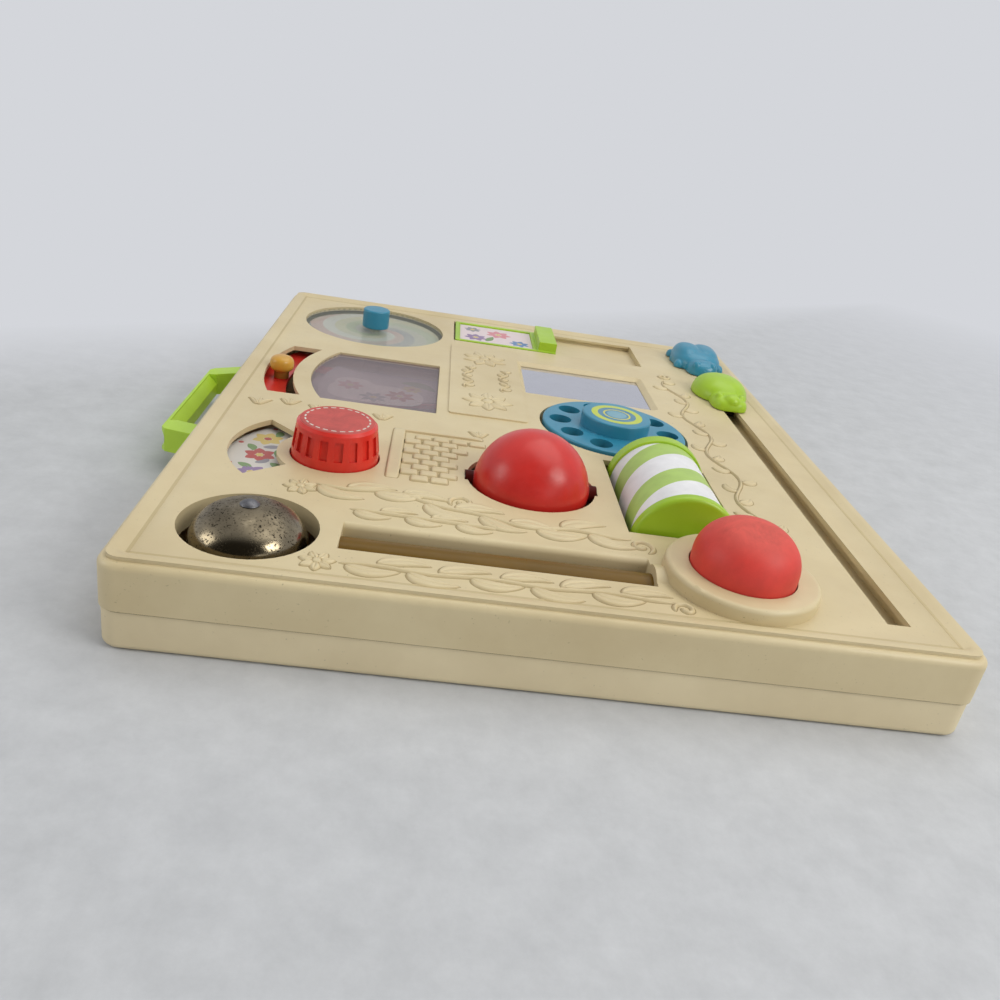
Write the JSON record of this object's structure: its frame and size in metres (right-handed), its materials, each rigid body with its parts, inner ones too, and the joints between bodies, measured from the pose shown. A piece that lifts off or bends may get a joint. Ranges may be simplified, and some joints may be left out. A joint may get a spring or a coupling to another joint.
{
  "type": "crib activity center",
  "caption": "Flat crib activity panel with a bell, squeeze bulb, roller ball, drum, telephone dial, picture knob, lever, spinner, mirror, sliding door and track sliders.",
  "frame": {"origin": "centre of the flat back face, with the toy lying on its back", "axes": "+X along the near edge, away from the carrying handle; +Y from the near edge, with the bell and bulb, to the far edge; +Z out of the front panel"},
  "size_m": [0.335, 0.392, 0.06],
  "materials": {
    "shell_cream": "aged cream moulding, satin, with fine scuffs",
    "cover_cream": "aged cream moulding, satin",
    "lime": "lime green moulding",
    "red_gloss": "glossy red moulding",
    "bulb_red": "soft red vinyl, matte, paler on top",
    "blue": "teal blue moulding",
    "ochre": "glossy ochre moulding",
    "bell_chrome": "plated bell with small pits",
    "steel": "plain steel",
    "tube_amber": "brown see-through tube",
    "dark_plastic": "dark brown moulding",
    "white_plastic": "plain white moulding",
    "clear_window": "clear plastic window with a slight grey tint",
    "mirror_film": "plastic mirror",
    "disc_print": "printed label on a turning disc",
    "spinner_print": "pastel printed swirl",
    "picture_print": "printed picture card",
    "door_print": "printed label",
    "drum_print": "printed sleeve with slanting bands"
  },
  "bodies": {
    "housing": {"front_shell": "shell_cream", "back_cover": "cover_cream", "case_screws": "steel", "carry_handle": "lime", "bell_dome": "bell_chrome", "bell_post": "shell_cream", "bell_rivet": "bell_chrome", "striker_tube": "tube_amber", "tube_end_cap": "dark_plastic", "bulb_seat": "white_plastic", "squeak_reed": "white_plastic", "knob_spindle": "steel", "lever_pivot": "steel", "picture_window": "clear_window", "picture_backdrop": "picture_print", "spinner_window": "clear_window", "click_spring": "steel", "ball_axle": "steel", "drum_axle": "steel", "mirror_plate": "mirror_film", "mirror_backing": "white_plastic", "door_picture": "door_print", "track_guide": "shell_cream", "dial_cup": "shell_cream", "door_tray": "shell_cream", "tube_trough": "shell_cream"},
    "striker": {"striker_body": "red_gloss", "hammer_rod": "steel"},
    "bulb": {"squeeze_bulb": "bulb_red"},
    "picture_turner": {"picture_knob": "red_gloss", "picture_disc": "disc_print", "knob_clip": "white_plastic"},
    "lever": {"lever_arm": "red_gloss", "lever_knob": "ochre", "lever_card": "picture_print"},
    "spinner": {"spinner_knob": "blue", "spinner_shaft": "white_plastic", "spinner_disc": "spinner_print"},
    "dial": {"dial_plate": "blue", "dial_spindle": "white_plastic", "dial_ratchet": "white_plastic", "dial_clip": "steel"},
    "ball": {"roller_ball": "red_gloss"},
    "drum": {"drum_barrel": "white_plastic", "drum_sleeve": "drum_print", "drum_near_cap": "lime", "drum_far_cap": "lime"},
    "door": {"door_panel": "lime", "door_label": "door_print"},
    "beetle": {"beetle_figure": "blue", "beetle_shoe": "dark_plastic", "beetle_screw": "steel"},
    "turtle": {"turtle_figure": "lime", "turtle_shoe": "dark_plastic", "turtle_screw": "steel"}
  },
  "joints": [
    {"name": "bulb_press", "type": "slide", "parent": "housing", "child": "bulb", "axis": [0, 0, -1], "range_m": [0, 0.009], "stiffness_N_per_m": 350},
    {"name": "striker_slide", "type": "slide", "parent": "housing", "child": "striker", "axis": [-1, 0, 0], "range_m": [0, 0.108]},
    {"name": "picture_turn", "type": "hinge", "parent": "housing", "child": "picture_turner", "pos_m": [-0.0924, -0.0844, 0.034], "axis": [0, 0, 1], "continuous": true},
    {"name": "lever_swing", "type": "hinge", "parent": "housing", "child": "lever", "pos_m": [-0.028, 0.026, 0.028], "axis": [0, 0, 1], "range_deg": [-18, 18]},
    {"name": "spinner_turn", "type": "hinge", "parent": "housing", "child": "spinner", "pos_m": [-0.0943, 0.1369, 0.034], "axis": [0, 0, 1], "continuous": true},
    {"name": "dial_turn", "type": "hinge", "parent": "housing", "child": "dial", "pos_m": [0.046, -0.0025, 0.034], "axis": [0, 0, 1], "continuous": true},
    {"name": "ball_roll", "type": "hinge", "parent": "housing", "child": "ball", "pos_m": [-0.005, -0.0876, 0.032], "axis": [1, 0, 0], "continuous": true},
    {"name": "drum_roll", "type": "hinge", "parent": "housing", "child": "drum", "pos_m": [0.059, -0.0868, 0.028], "axis": [0, 1, 0], "continuous": true},
    {"name": "door_slide", "type": "slide", "parent": "housing", "child": "door", "axis": [1, 0, 0], "range_m": [0, 0.058]},
    {"name": "beetle_slide", "type": "slide", "parent": "housing", "child": "beetle", "axis": [0, -1, 0], "range_m": [-0.005, 0.12]},
    {"name": "turtle_slide", "type": "slide", "parent": "beetle", "child": "turtle", "axis": [0, -1, 0], "range_m": [-0.013, 0.12]}
  ],
  "couplings": [
    {"joint": "striker_slide", "follows": "bulb_press", "ratio": 12}
  ]
}
